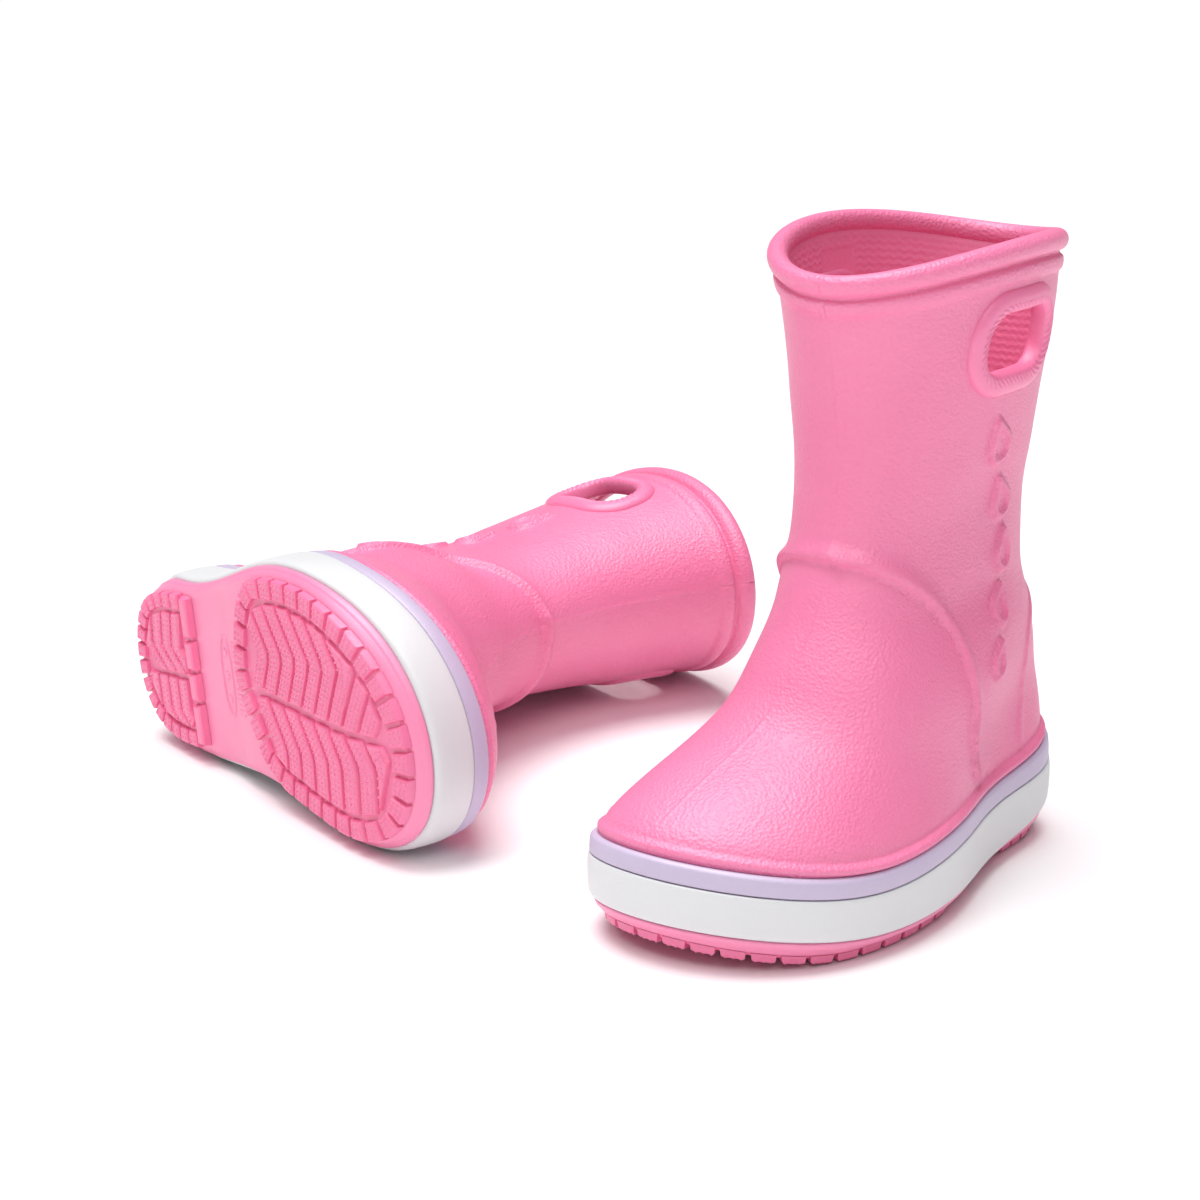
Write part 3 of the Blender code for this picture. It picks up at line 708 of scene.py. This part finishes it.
def lugs(parts, path, width, pitch, notch, closed=True, across=2, skip=None):
    """Blocks along the edge of a pad, with a notch between each two."""
    inner = inward(path, width, closed)
    step = np.linalg.norm(path[1] - path[0])
    total = len(path) * step if closed else (len(path) - 1) * step
    count = int(round(total / pitch))
    p = total / count
    stations = np.arange(len(path)) * step
    for i in range(count):
        q = np.linspace(i * p + notch / 2, (i + 1) * p - notch / 2, 5)
        a = np.stack([np.interp(q, stations, path[:, 0]), np.interp(q, stations, path[:, 1])], -1)
        b = np.stack([np.interp(q, stations, inner[:, 0]), np.interp(q, stations, inner[:, 1])], -1)
        if skip and skip(0.5 * (a.mean(0) + b.mean(0))):
            continue
        block(parts, a, b)
        # studs in rows that run across the lug
        ends_a = np.stack([a[0], b[0]])
        ends_b = np.stack([a[-1], b[-1]])
        f = np.linspace(0, 1, 4)[:, None]
        dots_on(parts, ends_a[0] * (1 - f) + ends_a[1] * f, ends_b[0] * (1 - f) + ends_b[1] * f, 3 if p > 8 else 2)


def ribs(parts, region, lean, pitch, groove, x_from, x_to, y_from, y_to, across=3, least=5.0):
    """Chevron ribs: strips between grooves that follow x = lean(y), cut off at the region's edge."""
    ys = np.linspace(y_from, y_to, 80)
    x = x_from
    while x < x_to:
        edges = []
        for shift in (groove / 2, pitch - groove / 2):
            line = np.stack([lean(ys) + x + shift, ys], -1)
            ok = np.array([inside_polygon(p, region) for p in line])
            edges.append(line[ok] if ok.any() else None)
        x += pitch
        if any(e is None or len(e) < 3 or np.linalg.norm(e[0] - e[-1]) < least for e in edges):
            continue
        pair = []
        for e in edges:
            q = np.linspace(0, 1, 9)
            t = np.concatenate([[0], np.cumsum(np.linalg.norm(np.diff(e, axis=0), axis=1))])
            t /= t[-1]
            pair.append(np.stack([np.interp(q, t, e[:, 0]), np.interp(q, t, e[:, 1])], -1))
        block(parts, pair[0], pair[1])
        dots_on(parts, pair[0], pair[1], across)


def floor_plate(parts, path, low=2.15, high=3.4):
    """The flat ground between the blocks."""
    x0, x1 = path[:, 0].min() + 0.05, path[:, 0].max() - 0.05
    xs = x0 + (x1 - x0) * (0.5 - 0.5 * np.cos(math.pi * np.arange(61) / 60))
    left, right = [], []
    for x in xs:
        a, b = path, np.roll(path, -1, 0)
        hit = (a[:, 0] - x) * (b[:, 0] - x) <= 0
        y = a[hit, 1] + (b[hit, 1] - a[hit, 1]) * (x - a[hit, 0]) / (b[hit, 0] - a[hit, 0] + 1e-9)
        left.append((x, y.max()))
        right.append((x, y.min()))
    block(parts, np.array(left), np.array(right), face=low, top=high, chamfer=0.15)


def forefoot_piece():
    def at(x):
        return math.acos(2 * x / FOOT_LENGTH - 1) / PI2
    lateral = np.linspace(at(98.0), 0.0, 60)[:-1]
    medial = np.linspace(1.0, 1 - at(108.0), 60)
    edge = np.vstack([outline(lateral, -5.3), outline(medial, -5.3)])
    rear = np.array([(101.5, -31.0), (96.0, -27.0), (91.5, -18.5), (86.8, -9.5), (83.8, -2.5), (82.6, 5.0), (84.0, 14.0), (87.0, 23.5), (91.0, 32.0)])
    path = relax(resample(np.vstack([edge, rear]), 0.5), 14)[::-1]
    path = resample(path, 0.5)
    parts = Parts()
    floor_plate(parts, inward(path, 0.9))
    lugs(parts, path, 6.8, 9.3, 2.1)
    region = inward(path, 8.6)
    middle = natural((80, 110, 150, 185), (1.0, -2.5, -8.0, -11.5))

    def lateral_lean(y):
        return 8.0 * (1 - np.abs(y - 13.0) / 14.0) * (np.abs(y - 13.0) < 40)

    def medial_lean(y):
        return np.where(y > -20, 9.0 * (1 - (y + 20) / 17.0), 9.0 - (-20 - y) * 0.12)
    centre = np.array([(x, float(middle(x))) for x in np.linspace(70, 195, 60)])
    upper_region = clip_region(region, centre, 1.1, True)
    lower_region = clip_region(region, centre, 1.1, False)
    ribs(parts, upper_region, lateral_lean, 9.25, 2.3, 74.0, 185.0, -12.0, 42.0)
    ribs(parts, lower_region, medial_lean, 9.25, 2.3, 68.0, 185.0, -3.0, -46.0)
    return parts


def clip_region(region, line, margin, above_line):
    """The part of a region on one side of a line, margin away from it."""
    f = 1 if above_line else -1
    y = np.interp(region[:, 0], line[:, 0], line[:, 1]) + f * margin
    out = region.copy()
    out[:, 1] = np.where(f * (region[:, 1] - y) < 0, y, region[:, 1])
    return out


def heel_piece():
    def at(x):
        return math.acos(2 * x / FOOT_LENGTH - 1) / PI2
    s = np.linspace(1 - at(44.5), at(44.5), 200)
    edge = resample(outline(s, -5.3), 0.5, closed=False)
    edge = edge if edge[0, 1] > 0 else edge[::-1]
    # the closed outline of the pad, its front edge straight
    front = np.array([(50.6, edge[-1, 1] + 1.2), (50.6, edge[0, 1] - 1.2)])
    whole = relax(resample(np.vstack([edge, [(48.5, edge[-1, 1])], front, [(48.5, edge[0, 1])]]), 0.5), 6)
    parts = Parts()
    floor_plate(parts, inward(whole, 0.9))
    lugs(parts, edge, 5.4, 7.0, 1.6, closed=False)
    for y0, y1 in ((-27.2, -12.6), (-10.6, -1.0), (1.0, 11.0), (13.0, 27.0)):
        ys = np.linspace(y0, y1, 4)
        block(parts, np.stack([np.full(4, 46.0), ys], -1), np.stack([np.full(4, 50.6), ys], -1), face=0.05, chamfer=0.6)
    inner = inward(edge, 7.0, closed=False)
    region = np.vstack([inner, [(44.4, inner[-1, 1])], [(44.4, inner[0, 1])]])
    centre = np.array([(0, -2.0), (60, -3.2)])
    ribs(parts, clip_region(region, centre, 1.0, True), lambda y: np.where(y > 8, (y - 8) * 0.2, (8 - y) * 1.0), 7.6, 1.9,
         -4.0, 44.0, -4.0, 24.0, across=2, least=3.0)
    ribs(parts, clip_region(region, centre, 1.0, False), lambda y: np.where(y > -16, 0.0, (-16 - y) * 0.95), 7.6, 1.9,
         5.0, 44.0, -1.0, -24.0, across=2, least=3.0)
    return parts


def oval_piece():
    """A plain oval ring and three studs on the arch."""
    t = np.arange(96) / 96 * PI2
    parts = Parts()
    rows = []
    for e, d in ((-.75, .3), (-.6, -.35), (-.25, -.6), (.25, -.6), (.6, -.35), (.75, .3)):
        x = 69.5 + (4.2 + e) * np.cos(t)
        y = 0.5 + np.sign(np.sin(t)) * np.abs(np.sin(t)) ** 0.72 * (14.5 + e)
        rows.append(np.stack([x, y, sole_z(x) + d], -1))
    parts.loft(np.array(rows))
    for y in (-8.0, 0.5, 9.0):
        c = (69.5, y)
        g = sole_z(c[0])
        angles = np.arange(16) / 16 * PI2
        rings = [np.column_stack([c[0] + r * np.cos(angles), c[1] + r * np.sin(angles), np.full(16, g + d)]) for r, d in ((1.7, .3), (1.55, -.3), (1.1, -.55), (.5, -.62))]
        pts = np.concatenate(rings)
        faces = [(j * 16 + i, j * 16 + (i + 1) % 16, (j + 1) * 16 + (i + 1) % 16, (j + 1) * 16 + i)[::-1] for j in range(3) for i in range(16)]
        faces += [tuple(range(48, 64))[::-1], tuple(range(16))]
        parts.add(pts, faces)
    for row in range(3):                # short fine ribs across the arch, ahead of the oval
        for y in np.arange(-13.0, 14.1, 1.9):
            x = 76.6 + row * 1.9
            a = np.array([(x, y - .42), (x + 1.2, y - .42)])
            b = np.array([(x, y + .42), (x + 1.2, y + .42)])
            block(parts, a, b, face=float(sole_z(x)) - 0.3, top=float(sole_z(x)) + 0.3, chamfer=0.15)
    return parts


def footbed_piece():
    """The foam footbed: flat under the foot, cupped up at its edge."""
    s = np.arange(240) / 240
    base = LINE["footbed"]
    profile = ((-9.4, .35), (-8.7, .8), (-8.5, 2.4), (-8.7, 3.9), (-9.2, 4.7), (-10.0, 5.0), (-11.0, 4.75), (-12.8, 4.2), (-15.0, 3.85), (-18.0, 3.7), (-22.0, 3.65))
    rows = [ring(s, o, lambda x, d=d: base(x) + d) for o, d in profile]
    parts = Parts()
    parts.loft(np.array(rows), closed=False)
    n = 240
    for at, flip in ((0, True), (len(rows) - 1, False)):
        first = at * n
        for f in [(0, 1, n - 1)] + [(i, i + 1, n - i - 1, n - i) for i in range(1, n // 2 - 1)] + [(n // 2 - 1, n // 2, n // 2 + 1)]:
            f = tuple(first + i for i in f)
            parts.faces.append(f[::-1] if flip else f)
    return parts


# ------------------------------------------------------------------ materials
def srgb(*c):
    return tuple(((v / 255 + 0.055) / 1.055) ** 2.4 if v > 10 else v / 255 / 12.92 for v in c) + (1.0,)


def foam(name, colour, darker, roughness, grain, bump, scatter=0.06, fine=0.3):
    """Moulded foam: slight cloudiness in the colour, a fine skin grain, satin."""
    m = bpy.data.materials.new(name)
    m.use_nodes = True
    nodes, links = m.node_tree.nodes, m.node_tree.links
    shader = nodes["Principled BSDF"]
    where = nodes.new("ShaderNodeTexCoord")

    def noise(scale, detail, rough=0.5):
        t = nodes.new("ShaderNodeTexNoise")
        t.inputs["Scale"].default_value = scale
        t.inputs["Detail"].default_value = detail
        t.inputs["Roughness"].default_value = rough
        links.new(where.outputs["Object"], t.inputs["Vector"])
        return t
    cloud = noise(22, 3)
    speck = noise(900, 2)
    ramp = nodes.new("ShaderNodeMapRange")
    ramp.inputs["From Min"].default_value = 0.35
    ramp.inputs["From Max"].default_value = 0.65
    links.new(cloud.outputs["Fac"], ramp.inputs["Value"])
    mix = nodes.new("ShaderNodeMix")
    mix.data_type = "RGBA"
    mix.inputs["A"].default_value = colour
    mix.inputs["B"].default_value = darker
    scaled = nodes.new("ShaderNodeMath")
    scaled.operation = "MULTIPLY_ADD"
    links.new(speck.outputs["Fac"], scaled.inputs[0])
    scaled.inputs[1].default_value = 0.35
    half = nodes.new("ShaderNodeMath")
    half.operation = "MULTIPLY"
    half.inputs[1].default_value = 0.55
    links.new(ramp.outputs["Result"], half.inputs[0])
    links.new(half.outputs[0], scaled.inputs[2])
    links.new(scaled.outputs[0], mix.inputs["Factor"])
    links.new(mix.outputs["Result"], shader.inputs["Base Color"])
    rough = nodes.new("ShaderNodeMapRange")
    rough.inputs["To Min"].default_value = roughness - 0.06
    rough.inputs["To Max"].default_value = roughness + 0.06
    links.new(noise(300, 3).outputs["Fac"], rough.inputs["Value"])
    links.new(rough.outputs["Result"], shader.inputs["Roughness"])
    cells = nodes.new("ShaderNodeTexVoronoi")
    cells.feature = "SMOOTH_F1"
    cells.inputs["Scale"].default_value = grain
    cells.inputs["Smoothness"].default_value = 0.6
    links.new(where.outputs["Object"], cells.inputs["Vector"])
    add = nodes.new("ShaderNodeMath")
    add.operation = "MULTIPLY_ADD"
    add.inputs[1].default_value = fine
    links.new(noise(grain * 2.2, 2).outputs["Fac"], add.inputs[0])
    links.new(cells.outputs["Distance"], add.inputs[2])
    relief = nodes.new("ShaderNodeBump")
    relief.inputs["Strength"].default_value = bump
    relief.inputs["Distance"].default_value = 0.00045
    links.new(add.outputs[0], relief.inputs["Height"])
    links.new(relief.outputs["Normal"], shader.inputs["Normal"])
    shader.inputs["Subsurface Weight"].default_value = scatter
    shader.inputs["Subsurface Radius"].default_value = (1.0, 0.45, 0.55)
    shader.inputs["Subsurface Scale"].default_value = 0.003
    shader.inputs["IOR"].default_value = 1.48
    shader.inputs["Specular IOR Level"].default_value = 0.9
    m.diffuse_color = colour
    return m


MATERIALS = {
    "upper": foam("upper_foam", srgb(243, 131, 174), srgb(239, 120, 165), 0.45, 1000, 0.6),
    # the lining is the upper's foam, painted lighter here to stand in for light falling inside the shaft
    "lining": foam("lining_foam_painted_light", srgb(252, 142, 184), srgb(248, 130, 175), 0.5, 1400, 0.22),
    "collar": foam("collar_foam", srgb(246, 133, 177), srgb(242, 122, 168), 0.43, 1250, 0.16),
    "white": foam("white_foam", srgb(222, 222, 224), srgb(215, 216, 219), 0.46, 1300, 0.10, 0.04),
    "lavender": foam("lavender_foam", srgb(201, 187, 213), srgb(193, 178, 206), 0.46, 1300, 0.10, 0.04),
    # the outsole's own pink, painted lighter than the upper's to stand in for light on the sidewall, which sits in
    # shade near the floor; the arch oval shares it
    "outsole": foam("outsole_foam", srgb(250, 146, 185), srgb(246, 134, 176), 0.42, 1300, 0.14),
    "tread": foam("tread_foam", srgb(245, 126, 170), srgb(238, 112, 158), 0.44, 1300, 0.16),
    "footbed": foam("footbed_foam", srgb(244, 122, 168), srgb(238, 108, 156), 0.62, 900, 0.3),
    "core": foam("core_foam", srgb(244, 126, 170), srgb(236, 112, 158), 0.6, 900, 0.3),
}

# ------------------------------------------------------------------ build both boots
upper, lining = upper_piece(), lining_piece()
collars = {True: collar_piece(True), False: collar_piece(False)}
white, stripe, outsole = band_piece(WHITE_BAND), band_piece(STRIPE), outsole_piece()
heel, forefoot, oval, footbed = heel_piece(), forefoot_piece(), oval_piece(), footbed_piece()

for prefix, side in (("left", 1.0), ("right", -1.0)):
    body = prefix + "_boot"
    build(prefix + "_upper_shell", side, upper, body, MATERIALS["upper"], prefix + "_upper")
    build(prefix + "_shaft_lining", side, lining, body, MATERIALS["lining"])
    for outer in (True, False):
        build("%s_%s_grip_collar" % (prefix, "outer" if outer else "inner"), side, collars[outer], body, MATERIALS["collar"])
    build(prefix + "_white_band", side, white, body, MATERIALS["white"], prefix + "_midsole_band", sharp=60)
    build(prefix + "_lavender_stripe", side, stripe, body, MATERIALS["lavender"], prefix + "_accent_stripe", sharp=60)
    build(prefix + "_outsole_body", side, outsole, body, MATERIALS["outsole"], prefix + "_outsole", sharp=50)
    build(prefix + "_heel_blocks", side, heel, body, MATERIALS["tread"], prefix + "_heel_tread", sharp=35)
    build(prefix + "_forefoot_blocks", side, forefoot, body, MATERIALS["tread"], prefix + "_forefoot_tread", sharp=35)
    build(prefix + "_arch_oval", side, oval, body, MATERIALS["outsole"], sharp=50)
    insole = build(prefix + "_footbed", side, footbed, body, MATERIALS["footbed"], prefix + "_insole")

for name in ("left_midsole_core", "right_midsole_core"):
    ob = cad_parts[name]
    ob.data.materials.clear()
    ob.data.materials.append(MATERIALS["core"])

# ------------------------------------------------------------------ floor, light and camera
mesh = bpy.data.meshes.new("floor")
half = 60.0
mesh.from_pydata([(-half, -half, 0), (half, -half, 0), (half, half, 0), (-half, half, 0)], [], [(0, 1, 2, 3)])
floor = bpy.data.objects.new("floor", mesh)
bpy.context.scene.collection.objects.link(floor)
paper = bpy.data.materials.new("floor_paper")
paper.use_nodes = True
paper.node_tree.nodes["Principled BSDF"].inputs["Base Color"].default_value = (0.95, 0.95, 0.95, 1)
paper.node_tree.nodes["Principled BSDF"].inputs["Roughness"].default_value = 0.9
paper.node_tree.nodes["Principled BSDF"].inputs["Specular IOR Level"].default_value = 0.1
mesh.materials.append(paper)
floor.location.z = -0.0002

world = bpy.data.worlds.new("studio")
bpy.context.scene.world = world
world.use_nodes = True
world.node_tree.nodes["Background"].inputs["Color"].default_value = (1, 1, 1, 1)
world.node_tree.nodes["Background"].inputs["Strength"].default_value = 0.2


def area(name, at, to, size, power):
    light = bpy.data.lights.new(name, "AREA")
    light.shape = "DISK"
    light.size = size
    light.energy = power
    ob = bpy.data.objects.new(name, light)
    ob.location = at
    ob.rotation_euler = (Vector(to) - Vector(at)).to_track_quat("-Z", "Y").to_euler()
    bpy.context.scene.collection.objects.link(ob)


def sun(name, towards, strength, angle):
    light = bpy.data.lights.new(name, "SUN")
    light.energy = strength
    light.angle = math.radians(angle)
    ob = bpy.data.objects.new(name, light)
    ob.rotation_euler = Vector(towards).to_track_quat("-Z", "Y").to_euler()
    bpy.context.scene.collection.objects.link(ob)


sun("overhead", (0.12, -0.04, -0.98), 2.75, 44)
area("softbox", (-0.35, -0.8, 1.6), (0.02, 0.0, 0.08), 1.1, 8.5)
area("key", (0.85, -0.85, 1.5), (0.08, 0.0, 0.09), 1.1, 8)
area("low_fill", (0.75, -1.5, 0.3), (0.1, -0.05, 0.03), 0.7, 0.7)

camera = bpy.data.cameras.new("camera")
camera.sensor_width = 36.0
camera.lens = 36.0 * 2817.58 / 1200
camera.clip_start, camera.clip_end = 0.02, 50.0
cam = bpy.data.objects.new("camera", camera)
cam.location = ((X0 + 449.94) * MM, (Y0 - 829.88) * MM, 0.35577)
cam.rotation_euler = Vector((-0.57491, 0.76529, -0.28949)).to_track_quat("-Z", "Y").to_euler()
bpy.context.scene.collection.objects.link(cam)
bpy.context.scene.camera = cam
bpy.context.scene.view_settings.view_transform = "Standard"
